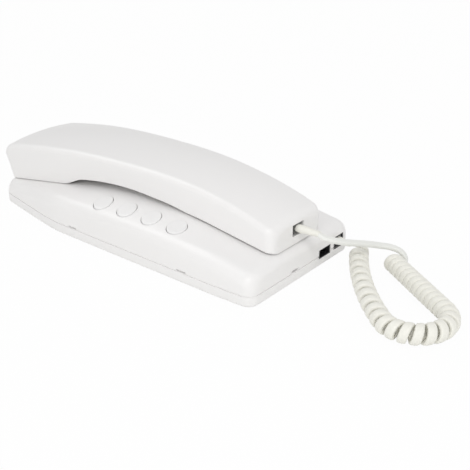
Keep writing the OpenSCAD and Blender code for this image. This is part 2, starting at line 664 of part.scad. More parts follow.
// The straight lead from the handset's plug to the coil, and the short tail from the base's plug.
lead_points = [[hand_boot_x, 0, hand_jack_z + 0.4], [121.8, 0.9, 27.8], [125.2, 4, 26.2], [128.2, 8.6,
    24.3],
    [130.6, 14, 22.4], [133, 20.8, 20.1], [135.4, 28, 17.6], [138, 34.8, 15], [141.3, 40, 13.1],
    [145.2, 42.9, 11.3], [148.1, 44.1, 8.9], [149.4, 44.5, 6.2], [149.4, 43.9, 3.8], [149, 42.2, 2.4]];
tail_points = [[base_boot_x, jack_y, jack_mid_z + 0.4], [117.4, 35.1, 10.1]];
function swept_dir(p, i, d0, d1) = i == 0 ? d0 : i == len(p) - 1 ? d1 : unit(unit(p[i + 1] - p[i])
    + unit(p[i] - p[i - 1]));
function swept_side(p, i, d0, d1) =
    let (t = swept_dir(p, i, d0, d1), s = i == 0 ? [0, 1, 0] : swept_side(p, i - 1, d0, d1))
    unit(s - t * (s * t));
module cord_run(p, d0, d1, n) loft([for (i = [0:len(p) - 1])
    let (t = swept_dir(p, i, d0, d1), u = swept_side(p, i, d0, d1)) cord_ring(p[i], u, cross(u, t), n)]);

module cord_handset_lead() color(ivory) cord_run(concat(lead_points, [coil_out]), [1, 0, 0],
    -curl_dir(curl_k), 8);

module cord_base_lead() color(ivory) cord_run(concat(tail_points, [coil_in]), [1, 0, 0], curl_dir(0), 8);

rear_housing();
front_cover();
circuit_board();
board_screws();
board_parts();
tact_switches();
hook_switch();
ringer();
base_jack();
line_jack();
hook_plunger();
button_1();
button_2();
button_3();
button_4();
handset_shell();
handset_face();
handset_screws();
receiver_capsule();
receiver_gasket();
microphone_capsule();
microphone_boot();
handset_jack();
handset_plug();
cord_handset_lead();
cord_coil();
cord_base_lead();
base_plug();
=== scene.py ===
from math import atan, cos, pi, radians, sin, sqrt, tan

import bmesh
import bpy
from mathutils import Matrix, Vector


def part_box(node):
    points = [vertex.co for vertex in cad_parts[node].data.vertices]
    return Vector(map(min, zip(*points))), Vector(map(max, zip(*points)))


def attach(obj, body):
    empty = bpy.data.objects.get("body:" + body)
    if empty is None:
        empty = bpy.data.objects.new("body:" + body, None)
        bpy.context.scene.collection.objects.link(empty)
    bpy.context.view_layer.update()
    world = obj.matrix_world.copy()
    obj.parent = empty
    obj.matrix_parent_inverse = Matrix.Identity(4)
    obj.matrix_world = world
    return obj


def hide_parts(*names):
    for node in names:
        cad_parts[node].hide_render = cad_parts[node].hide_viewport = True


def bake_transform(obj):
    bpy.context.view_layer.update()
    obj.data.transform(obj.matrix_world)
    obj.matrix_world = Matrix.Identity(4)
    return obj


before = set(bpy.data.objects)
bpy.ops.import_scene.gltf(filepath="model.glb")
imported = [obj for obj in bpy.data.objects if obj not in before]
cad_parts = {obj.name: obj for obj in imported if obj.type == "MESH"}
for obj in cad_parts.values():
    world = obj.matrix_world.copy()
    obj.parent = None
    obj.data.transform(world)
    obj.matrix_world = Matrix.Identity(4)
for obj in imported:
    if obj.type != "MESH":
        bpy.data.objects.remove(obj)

# %% [markdown]
# # A slimline wall phone
# The phone is two mouldings that meet at a seam, a handset made of two more, four push
# buttons, and a curly cord between the base and the handset. Nearly every part is white
# plastic, so the eye reads the shape from soft shading and from the thin dark gaps where
# two parts meet. That is why the outer skins are modelled finely here, with real gaps.
# The drawing gives each part's size and place, and all of it is kept.

MM = 0.001
scene = bpy.context.scene
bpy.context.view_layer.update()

# %% [markdown]
# ## The camera
# A long, low object shows best through a long lens from one corner, because its long
# sides then run nearly straight. The camera could be aimed with a constraint, but an
# azimuth, an elevation and a distance say the same thing and leave nothing live.

# %% Camera
view_azimuth = radians(-52.1)
view_elevation = radians(25.1)
view_distance = 0.6
view_target = Vector((52.9, 10.0, 6.3)) * MM
towards_camera = Vector((
    cos(view_elevation) * cos(view_azimuth),
    cos(view_elevation) * sin(view_azimuth),
    sin(view_elevation),
))
camera_data = bpy.data.cameras.new("camera")
camera_data.sensor_width = 36
camera_data.lens = 76.6
camera_data.clip_start = 0.01
camera = bpy.data.objects.new("camera", camera_data)
scene.collection.objects.link(camera)
camera.location = view_target + towards_camera * view_distance
camera.rotation_euler = (-towards_camera).to_track_quat("-Z", "Y").to_euler()
scene.camera = camera
print("camera at", [round(value, 4) for value in camera.location])

# %% [markdown]
# ## Sizes from the drawing
# Blender works in metres. These helpers think in millimetres, as the drawing does, and
# turn points into metres only when a vertex is placed. The main sizes are read from the
# boxes of the drawn parts, so the skins can't drift away from them.

# %% Boxes of the drawn parts, in millimetres
def box_mm(node):
    """Lowest and highest corner of a drawn part, in millimetres."""
    low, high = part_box(node)
    return low / MM, high / MM


def middle_mm(node):
    """Middle of a drawn part's box, in millimetres."""
    low, high = box_mm(node)
    return [(a + b) / 2 for a, b in zip(low, high)]


cover_low, cover_high = box_mm("front_cover")
half_l, half_w = cover_high.x, cover_high.y
seam_z, bed_z = cover_low.z, cover_high.z
shell_low, shell_high = box_mm("handset_shell")
hand_lean = 2
hand_reach, crown_z = shell_high.x, shell_high.z
ear_reach = -shell_low.x - hand_lean
wall = 2.2
print("base", round(2 * half_l), "x", round(2 * half_w), "mm, seam at", round(seam_z, 1),
    "bed at", round(bed_z, 1), "handset from", round(-ear_reach, 1), "to", round(hand_reach, 1))

# %% [markdown]
# Every new piece is edited as a bmesh, Blender's own structure for meshes in a script, and
# becomes an object at the end. Its points are already in place, so the object stays at the
# origin, as the drawn parts do. Smooth shading could be left to a modifier, but marking
# the sharp edges once is enough for hard plastic.


# %% Making a mesh into a piece
def add_piece(name, bm):
    """A new object at the origin, holding the bmesh."""
    mesh = bpy.data.meshes.new(name)
    bm.to_mesh(mesh)
    bm.free()
    piece = bpy.data.objects.new(name, mesh)
    scene.collection.objects.link(piece)
    return piece


def shade(piece, sharp=35):
    """Smooth shading, with edges over the sharp angle kept crisp."""
    piece.data.shade_smooth()
    piece.data.set_sharp_from_angle(angle=radians(sharp))
    return piece


print("drawn parts in the scene:", len(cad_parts))


# %% [markdown]
# A skin whose cross-section changes along its length could be drawn with curves and a
# loft add-on. In plain Blender the same thing is a flat grid that is bent: every corner
# of the grid has a column and a row, and a function says where that corner belongs. If
# the last row comes back to the first, merging the doubles closes the tube.

# %% Bending a grid into a skin
def bent_grid(columns, rows, place):
    """A grid of faces whose corner (i, j) is moved to place(i, j), given in millimetres."""
    bm = bmesh.new()
    bmesh.ops.create_grid(bm, x_segments=columns, y_segments=rows, size=0.5)
    for vert in bm.verts:
        i = round((vert.co.x + 0.5) * columns)
        j = round((vert.co.y + 0.5) * rows)
        vert.co = Vector(place(i, j)) * MM
    return bm


def close_up(bm, rim=0.0):
    """Merges the seam, fills the open ends and turns every face outwards."""
    bmesh.ops.remove_doubles(bm, verts=bm.verts, dist=0.001 * MM)
    filled = bmesh.ops.holes_fill(bm, edges=[e for e in bm.edges if e.is_boundary], sides=0)
    bmesh.ops.recalc_face_normals(bm, faces=bm.faces)
    if rim:
        bmesh.ops.inset_individual(bm, faces=filled["faces"], thickness=rim * MM,
            use_even_offset=True)
    return bm


def skin_of_rings(rings, rim=0.0):
    """A closed solid through rings of points, each ring closed on itself."""
    around = len(rings[0])
    bm = bent_grid(len(rings) - 1, around, lambda i, j: rings[i][j % around])
    return close_up(bm, rim)


# %% [markdown]
# ## The cord
# A curly cord is a soft cord that was wound on a rod and baked, so it keeps its curls. It
# leaves the base jack, curls out over the table, bends round in a loop and comes back
# tighter, and then runs straight up to the handset. It could be a curve with a bevel, but
# a mesh tube can carry a flat oblong section that turns with the curl. The route is the
# drawing's: an axis with a gentle bend, a round turn and a straight run, and a helix about
# that axis, worked out by a loop.

# %% Route of the coil's axis
cord_d = 3.6
curl_r = 4.3
curl_count = 32.5
curl_steps = 8
fine_steps = 24
coil_z = curl_r + cord_d / 2 + 0.1
coil_start = Vector((123.5, 36.5))
out_l, turn_r, back_l = 80, 17.7, 59.5
out_from, out_to, back_heading = radians(-61), radians(-39.5), radians(146.5)
out_r = out_l / (out_to - out_from)
turn_l = turn_r * (back_heading - out_to)
coil_l = out_l + turn_l + back_l
first_pitch, loose_pitch, turn_pitch, tight_pitch = 8.2, 8, 5.8, 4.7


def arc_step(heading, radius, run):
    """Where an arc of this radius leads, after a run from this heading."""
    end = heading + run / radius
    return Vector((sin(end) - sin(heading), cos(heading) - cos(end))) * radius


def axis_heading(run):
    if run < out_l:
        return out_from + run / out_r
    return min(out_to + (run - out_l) / turn_r, back_heading)


def axis_point(run):
    bend = coil_start + arc_step(out_from, out_r, min(run, out_l))
    if run > out_l:
        bend += arc_step(out_to, turn_r, min(run - out_l, turn_l))
    if run > out_l + turn_l:
        bend += (run - out_l - turn_l) * Vector((cos(back_heading), sin(back_heading)))
    return bend


print("coil axis is", round(coil_l, 1), "mm long")


# %% Curls about the axis
def curl_pitch(run):
    """Room that a curl takes along the axis: loose on the way out, tight on the way back."""
    stops = [(0, first_pitch), (out_l - 10, loose_pitch),
        (out_l + 8, turn_pitch), (out_l + turn_l - 6, turn_pitch),
        (out_l + turn_l + 10, tight_pitch), (coil_l * 2, tight_pitch)]
    for (run_a, pitch_a), (run_b, pitch_b) in zip(stops, stops[1:]):
        if run <= run_b:
            return pitch_a + (pitch_b - pitch_a) * (run - run_a) / (run_b - run_a)


raw_run = [0.0]
for _ in range(int(curl_count * curl_steps)):
    raw_run.append(raw_run[-1] + curl_pitch(raw_run[-1]) / curl_steps)


def curl_frame(turns):
    """Point of the curl and direction out from the axis, after this many turns."""
    place = turns * curl_steps
    low = min(int(place), len(raw_run) - 2)
    raw = raw_run[low] + (raw_run[low + 1] - raw_run[low]) * (place - low)
    run = raw * coil_l / raw_run[-1]
    heading, up = axis_heading(run), pi / 2 - 2 * pi * turns
    across = Vector((-sin(heading), cos(heading), 0))
    out = across * cos(up) + Vector((0, 0, sin(up)))
    return axis_point(run).to_3d() + Vector((0, 0, coil_z)) + out * curl_r, out


curl_frames = [curl_frame(k / fine_steps) for k in range(int(curl_count * fine_steps) + 1)]
coil_path = [point for point, out in curl_frames]
coil_lead_in = (coil_path[0] - coil_path[1]).normalized() * cord_d
coil_end = coil_path[-1] + (coil_path[-1] - coil_path[-2]).normalized() * cord_d
print("coil has", curl_count, "curls and", len(coil_path), "points")


# %% [markdown]
# The two straight stretches follow listed points, as a cord is laid on a table.
# A smooth curve runs through them, so the few points are enough.

# %% Straight stretches
def smooth_route(points, steps=6):
    """Points along a smooth curve through the given ones."""
    ends = [points[0] * 2 - points[1], *points, points[-1] * 2 - points[-2]]
    route = []
    for a, b, c, d in zip(ends, ends[1:], ends[2:], ends[3:]):
        for t in (i / steps for i in range(steps)):
            route.append((2 * b + (c - a) * t + (2 * a - 5 * b + 4 * c - d) * t ** 2
                + (3 * b - a - 3 * c + d) * t ** 3) / 2)
    return route + [points[-1]]


def thinned(points, least=0.7):
    """The same route without points closer than the least step."""
    kept = [points[0]]
    for point in points[1:-1]:
        if (point - kept[-1]).length >= least:
            kept.append(point)
    return kept + [points[-1]]


boot_tip = Vector((box_mm("handset_plug")[1].x, 0, middle_mm("handset_plug")[2]))
base_tip = Vector((box_mm("base_plug")[1].x, *middle_mm("base_plug")[1:]))
lead_points = [boot_tip, *(Vector(point) for point in (
    (121.8, 0.9, 27.8), (125.2, 4, 26.2), (128.2, 8.6, 24.3), (130.6, 14, 22.4), (133, 20.8, 20.1),
    (135.4, 28, 17.6), (138, 34.8, 15), (141.3, 40, 13.1), (145.2, 42.9, 11.3), (148.1, 44.1, 8.9),
    (149.4, 44.5, 6.2), (149.4, 43.9, 3.8), (149, 42.2, 2.4))), coil_end]
lead_route = thinned(smooth_route(lead_points))
tail_points = [base_tip, Vector((117.4, 35.1, 10.1)), coil_path[0] + coil_lead_in, coil_path[0]]
tail_route = smooth_route(tail_points)[:-1]
coil_route = tail_route + coil_path + [coil_end]


def route_length(points):
    return sum((b - a).length for a, b in zip(points, points[1:])) * MM


coil_length = route_length(coil_route)
lead_length = route_length(lead_route)
print("curly cord", round(coil_length, 3), "m, straight lead", round(lead_length, 3), "m")

# %% [markdown]
# A flat cord needs to know which way its thin side faces. On the curls that is the way out
# from the axis, and on the straight lead it is the direction that turns least from point to
# point. A ring of points is laid round each place on the route, and the rings make a skin.


# %% Tube along a route
def squared(value, power):
    """A sine or cosine pushed outwards, so that an oval becomes a rounded oblong."""
    return abs(value) ** power * (1 if value >= 0 else -1)


def tube(name, route, outs, wides, thick, sides=16, power=1.0, dimple=0.0):
    """A closed tube of flat section: outs gives the direction of its thin side at each point
    and wides its width there. A dimple runs along the middle of both flat sides."""
    angles = [2 * pi * k / sides for k in range(sides)]
    rings = []
    for i, (point, out, wide) in enumerate(zip(route, outs, wides)):
        along = (route[min(i + 1, len(route) - 1)] - route[max(i - 1, 0)]).normalized()
        thin = (out - along * out.dot(along)).normalized()
        across = along.cross(thin)
        rings.append([point
            + thin * thick / 2 * squared(cos(a), power) * (1 - dimple * cos(a) ** 4)
            + across * wide / 2 * squared(sin(a), power) for a in angles])
    return shade(add_piece(name, skin_of_rings(rings)), 50)


def steady_outs(route, first):
    """Section directions that turn as little as they can along the route."""
    outs = [Vector(first)]
    for a, b in zip(route, route[1:]):
        along = (b - a).normalized()
        outs.append((outs[-1] - along * outs[-1].dot(along)).normalized())
    return outs


coil_outs = [Vector((0, 0, 1))] * len(tail_route) + [out for point, out in curl_frames]
coil_outs.append(coil_outs[-1])
rib_wide, rib_thick, rib_spread = 4.5, 2.8, 0.25
lead_wide, lead_thick = 4.0, 3.3


def rib_width(k):
    """Ribs lie flatter, and so look wider, where the coil is pulled out."""
    k = min(k, len(coil_path) - 1 - fine_steps)
    return rib_wide + rib_spread * ((coil_path[k + fine_steps] - coil_path[k]).length - tight_pitch)


rib_wides = [rib_width(k) for k in range(len(coil_path))]
coil_wides = [rib_wide] * len(tail_route) + rib_wides + [rib_wide]
curly_cord = tube("curly_cord", coil_route, coil_outs, coil_wides, rib_thick, power=0.65)
handset_lead = tube("handset_lead", lead_route, steady_outs(lead_route, (0, 0, 1)),
    [lead_wide] * len(lead_route), lead_thick, sides=24, power=0.85, dimple=0.2)
print("cord tubes have", [len(cord.data.polygons) for cord in (curly_cord, handset_lead)], "faces")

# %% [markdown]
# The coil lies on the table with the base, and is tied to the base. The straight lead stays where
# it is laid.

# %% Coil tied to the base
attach(curly_cord, "base")
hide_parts("cord_coil", "cord_base_lead")
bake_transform(handset_lead)
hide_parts("cord_handset_lead")
print("cords tied:", curly_cord.name, "and", handset_lead.name)


# %% [markdown]
# ## The base
# The rear housing is a shallow tray, and the front cover is a crowned lid with long
# rounded edges, a bed for the handset and two pockets. Both narrow towards the upper end.
# A cage and a subdivision surface could give the crown, but the gaps and the fit need
# exact heights. So the same rules that the drawing uses say where each point goes, and
# the openings are cut afterwards with Boolean modifiers.

# %% Rules that the outline and the crown follow
side_taper, taper_start = radians(2.4), 27
bow_angle, bow_x, bow_blend = radians(11), -37, 24
plan_r = 7
level_from, level_to = 8, 20
bed_slope, bed_blend, bed_flat, fall_power = 0.16, 42, 20, 1.8
edge_z, edge_r = 22.5, 8
roll_x, roll_z = 6, 4
least_drop, least_room = 1.6, 8


def ease(distance, blend):
    """Nought, then a parabola over the blend, then a straight run at slope 1."""
    if distance <= 0:
        return 0.0
    return distance ** 2 / (2 * blend) if distance < blend else distance - blend / 2


def clamp(value, low, high):
    return min(max(value, low), high)


def soft_step(t):
    t = clamp(t, 0, 1)
    return t * t * (3 - 2 * t)


def corner_in(x, x0, x1, radius):
    """How far a rounded corner at either end of the span cuts in from the side."""
    past = clamp(max(x0 + radius - x, x - x1 + radius), 0, radius)
    return radius - sqrt(radius ** 2 - past ** 2)


def stations(x0, x1, radius, count):
    """Places along a span, close together in its rounded ends."""
    turn = [radius * (1 - cos(radians(a))) for a in range(0, 90, 9)]
    middle = [x0 + radius + (x1 - x0 - 2 * radius) * i / count for i in range(count + 1)]
    return [x0 + d for d in turn] + middle + [x1 - d for d in reversed(turn)]


def base_side(x, inset):
    """Half the base's width: tapered, and drawn in further towards the upper end."""
    return (half_w - inset - tan(side_taper) * max(half_l - taper_start - x, 0)
        - tan(bow_angle) * ease(bow_x - x, bow_blend)
        - corner_in(x, inset - half_l, half_l - inset, plan_r - inset))


def bed(x):
    """Height of the bed: level in the middle and sloping down to both ends."""
    return bed_z - bed_slope * (ease(level_from - x, bed_blend) + ease(x - level_to, bed_blend))


print("bed at the ends", round(bed(-half_l), 1), round(bed(half_l), 1))

# %% [markdown]
# Across the base, the cover is flat in the middle, falls away towards the sides and turns
# over a rounded edge into the wall. Both ends are rolled over too. Each rule takes an inset,
# so the same rules give the outer skin and, one wall further in, the hollow.


# %% Cross-section of the cover
def bed_drop(x):
    """How far the cover falls from the bed to its long edges."""
    return bed(x) - min(edge_z, bed(x) - least_drop)


def bed_top(x, y, inset):
    """Height of the cover before its long edges are rounded."""
    room = max(base_side(x, 0) - bed_flat, (half_w - bed_flat) / 3)
    return bed(x) - inset - bed_drop(x) * clamp((abs(y) - bed_flat) / room, 0, 1) ** fall_power


def roll_in(x, inset):
    """How far the top is rolled down at either end."""
    reach = roll_x - inset
    past = clamp(abs(x) - half_l + roll_x, 0, reach)
    return roll_z * (1 - sqrt(max(1 - (past / reach) ** 2, 0)))


def edge_angle(x):
    """Slope of the cover where it meets the rounded edge."""
    return atan(min(bed_drop(x) * fall_power / max(base_side(x, 0) - bed_flat, least_room), 1))


def edge_centre(x, inset):
    """Middle of the rounded long edge, seen along the base."""
    radius, angle = edge_r - inset, edge_angle(x)
    y = base_side(x, inset) - radius
    return y, bed_top(x, y + radius * sin(angle), inset) - radius * cos(angle) - roll_in(x, inset)


edge_steps, bed_steps, lip_z, end_rim = 9, 13, seam_z + 0.3, 0.08


def cover_half(x, inset):
    """Points up the side, round the edge and in over the bed, as (y, z)."""
    radius = edge_r - inset
    y0, z0 = edge_centre(x, inset)
    sweep = pi / 2 - edge_angle(x)
    turns = [sweep * i / edge_steps for i in range(edge_steps + 1)]
    edge = [(y0 + radius * cos(a), max(z0 + radius * sin(a), lip_z)) for a in turns]
    inner = [edge[-1][0] * (1 - i / bed_steps) for i in range(1, bed_steps)]
    return edge + [(y, bed_top(x, y, inset) - roll_in(x, inset)) for y in inner]


def cover_z(x, y, inset=0):
    """Height of the cover's surface over any point of its plan."""
    radius = edge_r - inset
    y0, z0 = edge_centre(x, inset)
    over = abs(y) - y0
    if over < radius * sin(edge_angle(x)):
        return bed_top(x, y, inset) - roll_in(x, inset)
    return z0 + sqrt(max(radius ** 2 - over ** 2, 0))


def cover_ring(x, inset, foot):
    """One closed ring of the cover's skin, from foot to foot over the top."""
    half = cover_half(x, inset)
    side = base_side(x, inset)
    top = (x, 0, bed_top(x, 0, inset) - roll_in(x, inset))
    return ([(x, -side, foot)] + [(x, -y, z) for y, z in half] + [top]
        + [(x, y, z) for y, z in reversed(half)] + [(x, side, foot)])


def cover_solid(name, inset, foot, count):
    """The cover as a solid lump, this far inside its skin and down to the foot."""
    places = stations(inset - half_l, half_l - inset, plan_r - inset, count)
    return add_piece(name, skin_of_rings([cover_ring(x, inset, foot) for x in places], end_rim))


print("cover section has", len(cover_ring(0, 0, seam_z)), "points")


# %% [markdown]
# Openings are cut with simple tools, as a toolmaker would say: round pins and square
# blocks that are taken away from the solid. The holes could be built into the skin, but
# the exact Boolean solver keeps the surface round them as it was. It can leave slits
# thinner than a hair, so points closer than the hairline are merged.

# %% Cutting tools
hairline = 0.03


def pin(x, y, z0, z1, radius, segments=72):
    """An upright round tool."""
    bm = bmesh.new()
    middle = Matrix.Translation(Vector((x, y, (z0 + z1) / 2)) * MM)
    bmesh.ops.create_cone(bm, cap_ends=True, segments=segments, radius1=radius * MM,
        radius2=radius * MM, depth=(z1 - z0) * MM, matrix=middle)
    return add_piece("pin", bm)


def block(x0, y0, z0, x1, y1, z1, round_edge=0.0):
    """A square tool, with its edges rounded if asked."""
    bm = bmesh.new()
    size = Vector((x1 - x0, y1 - y0, z1 - z0)) * MM
    middle = Vector((x0 + x1, y0 + y1, z0 + z1)) * MM / 2
    bmesh.ops.create_cube(bm, size=1, matrix=Matrix.LocRotScale(middle, None, size))
    if round_edge:
        bmesh.ops.bevel(bm, geom=bm.edges, offset=round_edge * MM, affect="EDGES", segments=3,
            profile=0.5, material=-1)
    return add_piece("block", bm)


def shape(piece, operation, tools):
    """Applies a Boolean with each tool in turn, merges hairline slits and drops the tools."""
    for tool in tools:
        modifier = piece.modifiers.new(operation, "BOOLEAN")
        modifier.operation = operation
        modifier.solver = "EXACT"
        modifier.object = tool
    worn = piece.data
    cut_piece = piece.evaluated_get(bpy.context.evaluated_depsgraph_get())
    piece.data = bpy.data.meshes.new_from_object(cut_piece)
    piece.modifiers.clear()
    bpy.data.meshes.remove(worn)
    bm = bmesh.new()
    bm.from_mesh(piece.data)
    bmesh.ops.remove_doubles(bm, verts=bm.verts, dist=hairline * MM)
    bm.to_mesh(piece.data)
    bm.free()
    for tool in tools:
        bpy.data.objects.remove(tool)
    return piece


def cut(piece, *tools):
    return shape(piece, "DIFFERENCE", tools)


def join(piece, *tools):
    return shape(piece, "UNION", tools)


print("slits under", hairline, "mm are merged")

# %% Windows and slots across the seam
jack_y, jack_mid_z = middle_mm("base_jack")[1:]
line_jack_y = middle_mm("line_jack")[1]
# For each window: middle, half width, and reach below and above the jacks' middle.
windows = ((jack_y, 5.1, 4.1, 3.9), (line_jack_y, 6, 4.3, 1.3))
slot_xs, slot_half_l, slot_deep = (-30, 60), 3.5, 1.8
slot_z0, slot_z1, end_slot_z1 = seam_z - 0.4, seam_z + 0.9, seam_z + 1.3


def jack_windows():
    inner, outer = half_l - wall - 1, half_l + 2
    return [block(inner, y - half, jack_mid_z - below, outer, y + half, jack_mid_z + above)
        for y, half, below, above in windows]


def snap_slots():
    """Slots for a screwdriver: two in each long side and one in the lower end."""
    slots = []
    for x in slot_xs:
        for y in (-base_side(x, 0), base_side(x, 0)):
            slots.append(block(x - slot_half_l, y - slot_deep, slot_z0,
                x + slot_half_l, y + slot_deep, slot_z1))
    return slots + [block(half_l - 2.6, -11.7, slot_z0, half_l + 1, -5.3, end_slot_z1)]


print("jacks at y", round(jack_y, 1), round(line_jack_y, 1))

# %% [markdown]
# The front cover has two round pockets for the ends of the handset, four wells for the
# buttons and a hole for the hook. The hollow under it is the same skin, one wall further
# in. It could come from a Solidify modifier, but a skin cut out of a skin keeps the wall
# true under the pockets too, where pins are left standing in the hollow.

# %% Front cover
ear_x, mouth_x, hook_x = (middle_mm(node)[0] for node in
    ("receiver_capsule", "microphone_boot", "hook_plunger"))
ear_z, mouth_z, pocket_t = 14.6, 20.8, 1.8
pockets = ((ear_x, ear_z - 0.4, 18.6), (mouth_x, mouth_z - 0.4, 12.6))
button_nodes = sorted(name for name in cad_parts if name.startswith("button_"))
button_places = [middle_mm(name)[:2] for name in button_nodes]
button_r, button_gap = 5.9, 0.35
hook_hole_l, hook_hole_w = 4.8, 2.8

front_cover = cover_solid("front_cover_skin", 0, seam_z, 120)
hollow = cut(cover_solid("hollow", wall, seam_z - 2, 60),
    *[pin(x, 0, z - pocket_t, z + 30, radius + pocket_t) for x, z, radius in pockets])
cut(front_cover, hollow,
    *[pin(x, 0, z, z + 30, radius) for x, z, radius in pockets],
    *[pin(x, y, 10, 40, button_r + button_gap) for x, y in button_places],
    block(hook_x - hook_hole_l, -hook_hole_w, 15, hook_x + hook_hole_l, hook_hole_w, 45),
    *jack_windows(), *snap_slots())
shade(front_cover, 32)
print("front cover has", len(front_cover.data.polygons), "faces")

# %% [markdown]
# The rear housing is a tray. Its outline is the cover's own at every height, so the two
# meet all round. A shallow groove under the seam draws the dark line between them, and a
# lip inside stops the light. Bosses for the board's screws and holes for the wall's are
# joined and cut in.

# %% Rear housing
plan_stations = stations(-half_l, half_l, plan_r, 60)


def plan_ring(z, inset):
    """The base's outline at a height, seen from above."""
    span = half_l - inset
    places = [x * span / half_l for x in plan_stations]
    return ([(x, -base_side(x, inset), z) for x in places]
        + [(x, base_side(x, inset), z) for x in reversed(places)])


def tray(name, levels):
    """A solid with the base's outline, through pairs of height and inset."""
    return add_piece(name, skin_of_rings([plan_ring(z, inset) for z, inset in levels]))


groove, floor_t = 0.5, 2
foot_levels = [(0, 1.5), (0.15, 1.0), (0.5, 0.6), (1.1, 0.2), (1.8, 0), (seam_z - 0.7, 0),
    (seam_z - 0.6, groove), (seam_z, groove)]
lip_foot, lip_face, lip_back = wall - 0.3, wall + 0.1, wall + 1.1
board_bosses = [(-14, -half_w + 19), (-14, half_w - 19),
    (half_l - 23.5, 15 - half_w), (half_l - 25.5, 10)]
wall_screws = [(-92, 0), (-32, 0)]
rear_housing = cut(tray("rear_housing_skin", foot_levels),
    tray("hollow", [(floor_t, wall), (seam_z + 2, wall)]))
lip_levels = [(seam_z - 2, lip_foot), (seam_z, lip_foot),
    (seam_z, lip_face), (seam_z + 1.8, lip_face)]
lip = cut(tray("lip", lip_levels), tray("hollow", [(seam_z - 3, lip_back), (seam_z + 3, lip_back)]),
    block(box_mm("base_jack")[0].x, line_jack_y - 7.3, seam_z - 2.3,
        half_l + 8, jack_y + 6.8, seam_z + 6))
join(rear_housing, lip, *[pin(x, y, 1, 3.2, 3.2, 32) for x, y in board_bosses],
    *[pin(x, y, 1, 3, 6, 48) for x, y in wall_screws])
cut(rear_housing, *[pin(x, y, 0.8, 6, 1.2, 24) for x, y in board_bosses],
    *[pin(x, y, -1, 5, 2.25, 40) for x, y in wall_screws], *jack_windows(), *snap_slots())
shade(rear_housing, 25)
print("rear housing has", len(rear_housing.data.polygons), "faces")


# %% [markdown]
# ## The push buttons
# Each button is a small round cap that follows the slope of the cover and stands a little
# proud of it. A cylinder cut at an angle would look like a peg, so the cap is a disc with
# many rings, laid on the cover's own surface, with its rim rolled over.

# %% Buttons
button_proud, button_rim = 0.7, 0.45
collar_r, collar_t, stem_r = button_r + 0.75, 1.2, 2.2


def rolled_rim(radius, rim):
    """Radius and drop of the rings that turn a round edge over."""
    turns = [radians(a) for a in range(0, 91, 15)]
    return [(radius - rim + rim * sin(a), rim * (1 - cos(a))) for a in turns]


def button_cap(name, x, y):
    """A round cap whose top follows the cover, with a rolled rim, a collar and a stem."""
    collar = max(cover_z(x + dx, y - 6.8, wall) for dx in (-6, 6)) - 0.8
    top = [(button_r * (i / 10), 0.0) for i in range(1, 9)] + rolled_rim(button_r, button_rim)
    below = [(button_r, collar), (collar_r, collar), (collar_r, collar - collar_t),
        (stem_r, collar - collar_t), (stem_r, box_mm(name)[0].z)]
    around = 64

    def place(i, j):
        angle = 2 * pi * i / around
        radius, height = top[j] if j < len(top) else below[j - len(top)]
        px, py = x + radius * cos(angle), y + radius * sin(angle)
        return px, py, cover_z(px, py) + button_proud - height if j < len(top) else height

    return shade(add_piece(name + "_cap", close_up(bent_grid(around, len(top) + 4, place))), 32)


buttons = []
for name, (x, y) in zip(button_nodes, button_places):
    cap = button_cap(name, x, y)
    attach(cap, name + "_body")
    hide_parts(name)
    buttons.append(cap)
print("buttons:", [cap.name for cap in buttons])

# %% [markdown]
# ## The handset
# The handset is a long shell with a high back, deep at the ear and the mouth and hollow
# under the grip. Its long edges are rounded, and its ear end leans. The same bent grid
# makes it, with a second, smaller skin cut out of it for the wall.

# %% Back and sides of the handset
ear_half_w, mouth_half_w, widen_from = 24.3, 24.5, -20
hand_plan_r, hand_r, crown_x = 6, 4, 5
ear_drop, mouth_drop, ear_power, mouth_power = 11.3, 16, 2.3, 2.4
ear_roll, mouth_roll = (10.5, 8.5), (4.5, 3.2)
crown_fall, hand_flare, flare_end, flare_run = 2.5, 4.8, 60, 120


def hand_side(x, inset):
    """Half the handset's width, with its corners rounded."""
    share = clamp((x - widen_from) / (hand_reach - widen_from), 0, 1)
    return (ear_half_w - inset - (ear_half_w - mouth_half_w) * share
        - corner_in(x, inset - ear_reach, hand_reach - inset, hand_plan_r - inset))


def hand_back(x, inset):
    """Height of the back on its middle line, rolled over at either end."""
    roll_l, roll_h = ear_roll if x < 0 else mouth_roll
    past = clamp((-x - ear_reach if x < 0 else x - hand_reach) + roll_l, 0, roll_l - inset)
    roll = roll_h * (1 - sqrt(max(1 - (past / (roll_l - inset)) ** 2, 0)))
    if x < crown_x:
        drop = ear_drop * ((crown_x - x) / (ear_reach + crown_x)) ** ear_power
    else:
        drop = mouth_drop * ((x - crown_x) / (hand_reach - crown_x)) ** mouth_power
    return crown_z - inset - roll - drop


def hand_fall(x, y):
    """How far the back falls away from its middle line."""
    return crown_fall * (y / hand_side(x, 0)) ** 2


def flare(x, share):
    """How far the side walls spread, this share of the way up from the rim."""
    return 1 + hand_flare * clamp((flare_end - x) / flare_run, 0, 1) * share / hand_side(x, 0)


print("handset's back:", [round(hand_back(x, 0), 1) for x in (-ear_reach, crown_x, hand_reach)])

# %% [markdown]
# Seen from the side, the rim follows the bed at both ends and lifts into an arch for the
# fingers between them. Where it comes close to the bed at the mouth end, a small bevel
# leaves a notch in which the dark line lies. A Bevel modifier would round the whole rim,
# so the bevel is one more point in each ring, and it grows along the handset.

# %% Rim of the handset
arch_z, arch_r, arch_x = 34.2, 197, 1
arch_start, arch_step = ear_x + 24, 18
ear_gap, mouth_gap = 0.3, 0.8
lean_run = 30
bevel_from, bevel_run, bevel_spread = 15, 25, 1.2


